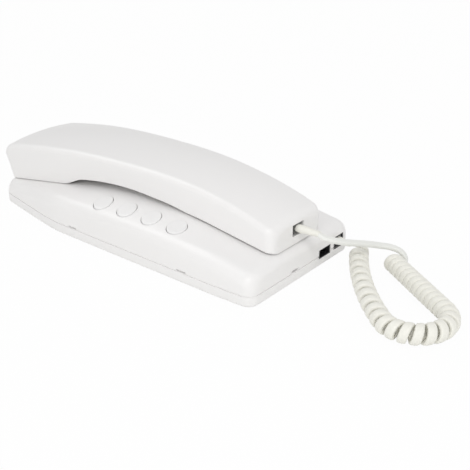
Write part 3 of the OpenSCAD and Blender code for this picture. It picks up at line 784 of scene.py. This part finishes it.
def hand_under(x):
    """Height of the rim: along the bed at both ends, and the finger arch between."""
    arch = arch_z - (x - arch_x) ** 2 / (2 * arch_r)
    if x < arch_x:
        t = soft_step((x - arch_start) / arch_step)
        return (bed(x) + ear_gap) * (1 - t) + arch * t
    return max(arch, bed(x) + mouth_gap)


def lean(x, share):
    """How far the ear end leans outwards, this share of the way up from the rim."""
    return hand_lean * share * clamp((lean_run - ear_reach - x) / lean_run, 0, 1) ** 2


def rim_bevel(x, inset):
    """Height of the bevel on the rim: none at the ear, full at the mouth."""
    return max(soft_step((x - bevel_from) / bevel_run) - inset, 0.02)


print("handset rim at the arch", round(hand_under(arch_x), 1), "and at the ends",
    round(hand_under(-ear_reach), 1), round(hand_under(hand_reach), 1))


# %% Cross-section of the handset
def hand_ring(x, inset, drop):
    """One closed ring of the handset's skin, from rim to rim over the back."""
    radius, width = hand_r - inset, hand_side(x, inset)
    top, foot = hand_back(x, inset), hand_under(x) - drop
    y0 = width - radius
    fall = hand_fall(x, y0)
    z0 = max(top - fall - radius, foot + 1)
    bevel = rim_bevel(x, inset)
    half = [(width - bevel_spread * bevel, foot), (width, foot + bevel)]
    turns = [radians(a) for a in range(0, 90, 9)]
    half += [(y0 + radius * cos(a), z0 + radius * sin(a)) for a in turns]
    inner = [y0 * (1 - i / 11) for i in range(11)]
    half += [(y, z0 + radius + fall - hand_fall(x, y)) for y in inner]
    rise = top - foot

    def leaned(y, z):
        share = (z - foot) / rise
        return x - lean(x, share), y * flare(x, share), z

    return ([leaned(-y, z) for y, z in half] + [leaned(0, z0 + radius + fall)]
        + [leaned(y, z) for y, z in reversed(half)])


def hand_solid(name, inset, drop, count):
    """The handset as a solid lump, this far inside its skin and this far below its rim."""
    places = stations(inset - ear_reach, hand_reach - inset, hand_plan_r - inset, count)
    return add_piece(name, skin_of_rings([hand_ring(x, inset, drop) for x in places], 0.3))


print("handset section has", len(hand_ring(0, 0, 0)), "points")

# %% Handset shell
face_t, face_inset = 1.8, 0.4
hand_jack_z = middle_mm("handset_jack")[2]
screw_xs = (ear_x + 25, mouth_x - 17)
handset_shell = hand_solid("handset_shell_skin", 0, 0, 140)
hollow = cut(hand_solid("hollow", wall, 2, 70),
    *[pin(x, 0, hand_under(x) + face_inset + 4, 80, 3.6, 32) for x in screw_xs])
cut(handset_shell, hollow,
    *[pin(x, 0, hand_under(x) + face_inset + 3, hand_under(x) + face_inset + 14, 1.2, 24)
        for x in screw_xs],
    block(hand_reach - wall - 1, -5.2, hand_jack_z - 3.6, hand_reach + 2, 5.2, hand_jack_z + 3.4))
shade(handset_shell, 32)
print("handset shell has", len(handset_shell.data.polygons), "faces")

# %% [markdown]
# The inner face closes the handset from below. It is a plate that follows the rim, with a
# round boss for the ear and one for the mouth. Sound holes could be a bump in the
# material, but real holes still look right from close by.


# %% Inner face of the handset
def face_ring(x, inset):
    z, width = hand_under(x) + face_inset, hand_side(x, inset)
    return [(x, -width, z), (x, -width, z + face_t), (x, width, z + face_t), (x, width, z)]


def hole_ring(x, z, count, ring_r, hole_r):
    """Sound holes: one in the middle and a ring of others."""
    turns = [2 * pi * i / count for i in range(count)]
    places = [(x, 0), *((x + ring_r * cos(a), ring_r * sin(a)) for a in turns)]
    return [pin(hole_x, hole_y, z, z + 5, hole_r, 20) for hole_x, hole_y in places]


def round_boss(x, z0, z1, radius, edge=0.8):
    """A round boss with a rolled lower edge."""
    profile = [(r, z0 + rise) for r, rise in rolled_rim(radius, edge)] + [(radius, z1)]
    around = 72

    def place(i, j):
        angle = 2 * pi * i / around
        return x + profile[j][0] * cos(angle), profile[j][0] * sin(angle), profile[j][1]

    return add_piece("boss", close_up(bent_grid(around, len(profile) - 1, place)))


side_gap = wall + 0.15
ear_boss_r, mouth_boss_r = 18, 12
face_places = stations(side_gap - ear_reach, hand_reach - side_gap, hand_plan_r - side_gap, 90)
face_rings = [face_ring(x, side_gap) for x in face_places]
handset_face = add_piece("handset_face_skin", skin_of_rings(face_rings))
join(handset_face,
    round_boss(ear_x, ear_z, bed(ear_x + ear_boss_r) + 3, ear_boss_r),
    round_boss(mouth_x, mouth_z, bed(mouth_x) + 3, mouth_boss_r),
    *[pin(x, 0, hand_under(x) + face_inset + 0.9, hand_under(x) + face_inset + 3.9, 4.5, 40)
        for x in screw_xs])
cut(handset_face,
    pin(ear_x, 0, ear_z + face_t, 60, 16.1), pin(mouth_x, 0, mouth_z + face_t, 60, 6.2),
    *hole_ring(ear_x, ear_z - 1, 6, 6, 1.2), *hole_ring(mouth_x, mouth_z - 1, 3, 2.4, 0.8),
    *[pin(x, 0, hand_under(x) - 1, hand_under(x) + 8, 1.5, 24) for x in screw_xs],
    *[pin(x, 0, hand_under(x) - 1, hand_under(x) + 2.4, 2.9, 40) for x in screw_xs])
shade(handset_face, 28)
print("handset face has", len(handset_face.data.polygons), "faces")

# %% [markdown]
# The jacks behind the windows are black, and a black lining carries that black out to the end face,
# so no white wall shows inside a window. The lining is partly the jacks' own black and partly
# painted shade for the dark inside the windows. The lining is what the window took away, with the
# socket cut out of it. Black paint on the wall's edge would look the same, but it would need a
# second material on the cover.

# %% Jack linings: the jacks' black, and painted shade in the windows
# For each socket: name, middle, half width, and floor and roof from the jacks' middle.
sockets = (("base_jack_shade_lining", jack_y, 3.95, -2.8, 3.6),
    ("line_jack_shade_lining", line_jack_y, 4.95, -3.8, 1.4))
shade_linings = jack_windows()
for shade_lining, (name, y, half, z0, z1) in zip(shade_linings, sockets):
    shade_lining.name = name
    shape(shade_lining, "INTERSECT", [cover_solid("end_face", 0.2, seam_z - 6, 60)])
    cut(shade_lining, block(half_l - 12, y - half, jack_mid_z + z0,
        half_l + 4, y + half, jack_mid_z + z1))
    shade(shade_lining, 32)
    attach(shade_lining, "base")
print("linings:", [shade_lining.name for shade_lining in shade_linings])

# %% Mouldings tied to the bodies
for piece, node, body in (
    (front_cover, "front_cover", "base"),
    (rear_housing, "rear_housing", "base"),
    (handset_shell, "handset_shell", "handset"),
    (handset_face, "handset_face", "handset"),
):
    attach(piece, body)
    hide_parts(node)
    print(piece.name, "stands for", node)


# %% [markdown]
# ## The plugs and the hook
# A modular plug is a small clear block that clicks into its jack, and the cord enters it through a
# short boot that tapers. The boot could be a scaled cone, but a bent grid can turn from an oval at
# the plug into the cord's own section. The cords' real lengths are printed here.

# %% Plugs
block_l, boot_sunk, boot_over = 11.6, 0.4, 0.9
boot_half_w, boot_half_h, boot_play = 2.8, 2.2, 0.08


def cord_boot(name, node, body):
    """A plug's clear block and its tapered oval boot, as two pieces."""
    low, high = box_mm(node)
    middle_y, middle_z = middle_mm(node)[1:]
    deep = low.x + block_l
    length = high.x - deep + boot_over
    around, steps = 40, 10

    def place(i, j):
        share = soft_step((j - 1) / (steps - 2))
        wide = boot_half_w + (lead_wide / 2 + boot_play - boot_half_w) * share
        thick = boot_half_h + (lead_thick / 2 + boot_play - boot_half_h) * share
        shrink = 0.85 if j == 0 else 0.96 if j == steps else 1
        angle = 2 * pi * i / around
        x = deep - boot_sunk + (length + boot_sunk) * (j / steps)
        return x, middle_y + wide * shrink * cos(angle), middle_z + thick * shrink * sin(angle)

    piece = shade(add_piece(name, close_up(bent_grid(around, steps, place))), 40)
    clear = block(low.x, low.y, low.z, deep, high.y, high.z, 0.35)
    clear.name = name.replace("boot", "block")
    shade(clear, 40)
    for made in (piece, clear):
        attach(made, body)
        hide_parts(node)
    return piece, clear


handset_boot, handset_block = cord_boot("handset_plug_boot", "handset_plug", "handset")
base_boot, base_block = cord_boot("base_plug_boot", "base_plug", "base")
print("plugs made:", handset_boot.name, handset_block.name, base_boot.name, base_block.name)

# %% Cord lengths
for cord, start, length, route, lay, plug in (
    (curly_cord, base_tip, coil_length, coil_route, "coiled", (base_boot, base_block)),
    (handset_lead, boot_tip, lead_length, lead_route, "loose", (handset_boot, handset_block)),
):
    start * MM
    [point * MM for point in route]
    print(cord.name, round(length, 3), "m")

# %% [markdown]
# The hook is a small plunger under the handset that the receiver's weight holds down. It
# is a block with soft edges, on a shoulder that stays inside, joined to a round stem.

# %% Hook plunger
hook_low, hook_high = box_mm("hook_plunger")
cap_inset, cap_h = 1.5, 6
hook_cap = block(hook_low.x + cap_inset, hook_low.y + cap_inset, hook_high.z - cap_h,
    hook_high.x - cap_inset, hook_high.y - cap_inset, hook_high.z, 0.6)
hook_cap.name = "hook_plunger_cap"
shoulder_z = min(cover_z(x, 0, wall) for x in (hook_x + 8, hook_x - 8)) - 3.4
join(hook_cap,
    block(hook_low.x, hook_low.y, shoulder_z - 1.2, hook_high.x, hook_high.y, shoulder_z, 0.2),
    pin(hook_x, 0, hook_low.z, shoulder_z - 0.4, 1.8, 32))
shade(hook_cap, 32)
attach(hook_cap, "hook")
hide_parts("hook_plunger")
print("hook cap has", len(hook_cap.data.polygons), "faces")


# %% [markdown]
# ## Finishes
# Shader sums read best as sums. A small class wraps a socket, and adding or multiplying
# two of them adds the Math node. Every other node comes from one method. Patterns read
# Object coordinates, so they stay on their piece when it moves.

# %% Shader tools
class Wire:
    """A socket that takes part in sums as a number does."""

    def __init__(self, finish, socket):
        self.finish, self.socket = finish, socket

    def sum(self, operation, first, second):
        return self.finish.add("Math", {"operation": operation}, {0: first, 1: second})

    def __add__(self, other):
        return self.sum("ADD", self, other)

    def __mul__(self, other):
        return self.sum("MULTIPLY", self, other)

    __radd__, __rmul__ = __add__, __mul__


class Finish:
    """A material and its nodes."""

    def __init__(self, name):
        self.material = bpy.data.materials.new(name)
        self.material.use_nodes = True
        self.tree = self.material.node_tree
        self.tree.nodes.clear()
        self.place = self.add("TexCoord", {}, {}, "Object")

    def add(self, kind, settings, values, output=0):
        """Adds a node, its settings first and then its values or links, and gives one output."""
        node = self.tree.nodes.new("ShaderNode" + kind)
        for name, setting in settings.items():
            setattr(node, name, setting)
        for name, value in values.items():
            if isinstance(value, Wire):
                self.tree.links.new(value.socket, node.inputs[name])
            else:
                node.inputs[name].default_value = value
        return Wire(self, node.outputs[output])

    def noise(self, scale, detail=2.0, rough=0.5):
        return self.add("TexNoise", {}, {"Vector": self.place, "Scale": scale, "Detail": detail,
            "Roughness": rough})

    def blend(self, share, first, second):
        """A colour between two others."""
        return self.add("Mix", {"data_type": "RGBA"}, {0: share, 6: first, 7: second}, 2)

    def bump(self, height, depth, strength=1.0):
        return self.add("Bump", {}, {"Height": height, "Distance": depth, "Strength": strength})

    def surface(self, values):
        self.add_output(self.add("BsdfPrincipled", {}, values))

    def add_output(self, shader):
        node = self.tree.nodes.new("ShaderNodeOutputMaterial")
        self.tree.links.new(shader.socket, node.inputs["Surface"])


def paint(material, *pieces):
    for piece in pieces:
        piece.data.materials.clear()
        piece.data.materials.append(material)


print("materials before painting:", len(bpy.data.materials))

# %% [markdown]
# Moulded plastic takes the fine texture of its steel mould. So a very fine noise bumps the
# surface, a coarser one makes the gloss uneven, and the coarsest drifts between two shades
# of the same colour. One recipe serves all the plastics, from white shell to black jack.


# %% Moulded plastic
def moulded(name, colour, other, rough=0.4, grain=0.00002):
    """Satin moulded plastic with a fine grain, uneven gloss and a slightly aged colour."""
    finish = Finish(name)
    age = finish.noise(22, 3)
    gloss = finish.noise(140, 4, 0.6)
    spark = finish.noise(2600, 2, 0.7)
    finish.surface({
        "Base Color": finish.blend(age, colour, other),
        "Roughness": gloss * 0.12 + (rough - 0.06),
        "Normal": finish.bump(spark, grain),
        "IOR": 1.5,
    })
    return finish.material


white_abs = moulded("white_abs", (0.877, 0.867, 0.86, 1), (0.892, 0.882, 0.876, 1), 0.34)
button_white = moulded("button_white", (0.85, 0.845, 0.84, 1), (0.87, 0.865, 0.86, 1), 0.34)
cord_ivory = moulded("cord_ivory", (0.86, 0.85, 0.78, 1), (0.88, 0.87, 0.81, 1), 0.42)
lead_white = moulded("lead_white", (0.84, 0.845, 0.81, 1), (0.87, 0.875, 0.84, 1), 0.4)
# The clear plug blocks are painted near black: the black jack seen through them, and painted shade
# for the dark inside the windows.
clear_plug_black_and_shade = moulded("clear_plug_black_and_shade", (0.05, 0.05, 0.048, 1), (0.09, 0.09, 0.085, 1), 0.14)
jack_black = moulded("jack_black", (0.012, 0.012, 0.013, 1), (0.02, 0.02, 0.021, 1), 0.35)
paint(white_abs, front_cover, rear_housing, handset_shell, handset_face, hook_cap)
paint(button_white, *buttons)
paint(cord_ivory, curly_cord, handset_boot, base_boot)
paint(lead_white, handset_lead)
paint(clear_plug_black_and_shade, handset_block, base_block)
# The linings wear the jacks' black, which here also paints the shade inside the windows.
paint(jack_black, *shade_linings)
print("plastics:", white_abs.name, button_white.name, cord_ivory.name, jack_black.name)


# %% [markdown]
# The parts inside are the drawing's own, and they only need finishes: green board with a
# solder mask, dark components, a brass sounder disc, zinc screws and steel capsules.

# %% Finishes for the inner parts
def metal(name, colour, rough):
    """Plain metal with fine brush marks."""
    finish = Finish(name)
    brushed = finish.noise(900, 3)
    finish.surface({
        "Base Color": colour,
        "Metallic": 1.0,
        "Roughness": brushed * 0.2 + (rough - 0.1),
        "Normal": finish.bump(brushed, 0.00001),
    })
    return finish.material


board_green = moulded("board_green", (0.02, 0.11, 0.045, 1), (0.03, 0.14, 0.06, 1), 0.3)
component_dark = moulded("component_dark", (0.03, 0.03, 0.032, 1), (0.06, 0.06, 0.062, 1), 0.5)
foam_grey = moulded("foam_grey", (0.12, 0.12, 0.125, 1), (0.2, 0.2, 0.205, 1), 0.9, 0.0002)
brass = metal("brass", (0.72, 0.53, 0.22, 1), 0.35)
zinc = metal("zinc", (0.66, 0.67, 0.69, 1), 0.32)
capsule_steel = metal("capsule_steel", (0.6, 0.6, 0.61, 1), 0.28)
inner_finishes = {
    "circuit_board": (board_green, "circuit_board"), "board_parts": (component_dark, "components"),
    "tact_switches": (component_dark, "components"), "hook_switch": (component_dark, "components"),
    "ringer": (brass, "brass_disc"),
    "board_screws": (zinc, "zinc_steel"), "handset_screws": (zinc, "zinc_steel"),
    "receiver_capsule": (capsule_steel, "capsule_steel"),
    "microphone_capsule": (capsule_steel, "capsule_steel"),
    "receiver_gasket": (foam_grey, "foam_grey"), "microphone_boot": (foam_grey, "foam_grey"),
    "base_jack": (jack_black, "jack_black"), "line_jack": (jack_black, "jack_black"),
    "handset_jack": (jack_black, "jack_black"),
}
for node, (material, slot) in inner_finishes.items():
    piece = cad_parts[node]
    paint(material, piece)
print("finished", len(inner_finishes), "drawn parts")

# %% [markdown]
# ## The table and the light
# The phone lies on a white table in a bright room. The floor and the world look pure
# white to the camera, whatever light falls on them, and a small share of the floor's real
# shading is kept, so the phone still has its soft shadow. A white image behind the phone
# would do for one view, but this holds from every side.

# %% Floor
floor_finish = Finish("white_table")
seen = floor_finish.add("LightPath", {}, {}, "Is Camera Ray")
shone = floor_finish.add("LightPath", {}, {}, "Is Glossy Ray")
through = floor_finish.add("LightPath", {}, {}, "Is Transmission Ray")
plain = floor_finish.add("BsdfDiffuse", {}, {"Color": (0.9, 0.9, 0.89, 1)})
glow = floor_finish.add("Emission", {}, {"Color": (1, 1, 1, 1), "Strength": 1.0})
glow_share = 0.96
cover_up = (seen + shone + through) * glow_share
floor_finish.add_output(floor_finish.add("MixShader", {}, {0: cover_up, 1: plain, 2: glow}))
floor_half, floor_drop = 3, 0.0002
bm = bmesh.new()
bmesh.ops.create_grid(bm, x_segments=4, y_segments=4, size=floor_half)
floor = add_piece("table", bm)
floor.location.z = -floor_drop
paint(floor_finish.material, floor)
print("floor spans", round(floor.dimensions.x, 1), "m")

# %% [markdown]
# The room gives most of the light. A key lamp lifts the lower end, and a weak fill lamp
# low in front keeps the near side from going grey. A highlight shows where a surface faces
# halfway between a lamp and the camera. So the edge lamp stands mirrored to the camera
# about the phone's length, and its reflection runs along the handset's rounded edge. It
# takes no part in the diffuse light, so it draws the line and leaves the faces alone.

# %% World and lamps
room_light = 0.73
world = bpy.data.worlds.new("room")
world.use_nodes = True
scene.world = world
tree = world.node_tree
tree.nodes.clear()
path = tree.nodes.new("ShaderNodeLightPath")
room = tree.nodes.new("ShaderNodeBackground")
room.inputs["Strength"].default_value = room_light
white = tree.nodes.new("ShaderNodeBackground")
both = tree.nodes.new("ShaderNodeMixShader")
end = tree.nodes.new("ShaderNodeOutputWorld")
for node in (room, white):
    node.inputs["Color"].default_value = (1, 1, 1, 1)
tree.links.new(path.outputs["Is Camera Ray"], both.inputs[0])
tree.links.new(room.outputs[0], both.inputs[1])
tree.links.new(white.outputs[0], both.inputs[2])
tree.links.new(both.outputs[0], end.inputs["Surface"])


def lamp(name, place, target, size, power):
    """A square soft lamp aimed at a point."""
    data = bpy.data.lights.new(name, "AREA")
    data.size = size
    data.energy = power
    light = bpy.data.objects.new(name, data)
    scene.collection.objects.link(light)
    light.location = place
    light.rotation_euler = (Vector(target) - Vector(place)).to_track_quat("-Z", "Y").to_euler()
    return light


lamp("key", (0.75, -0.65, 0.95), (0.05, 0, 0), 0.5, 3.7)
lamp("fill", (0.28, -0.75, 0.24), (0.06, 0, 0.02), 0.6, 0.75)
edge_light = lamp("edge_light", (-0.72, -0.26, 1.05), (0, 0, 0.04), 0.8, 4.2)
edge_light.visible_diffuse = False
scene.view_settings.view_transform = "Standard"
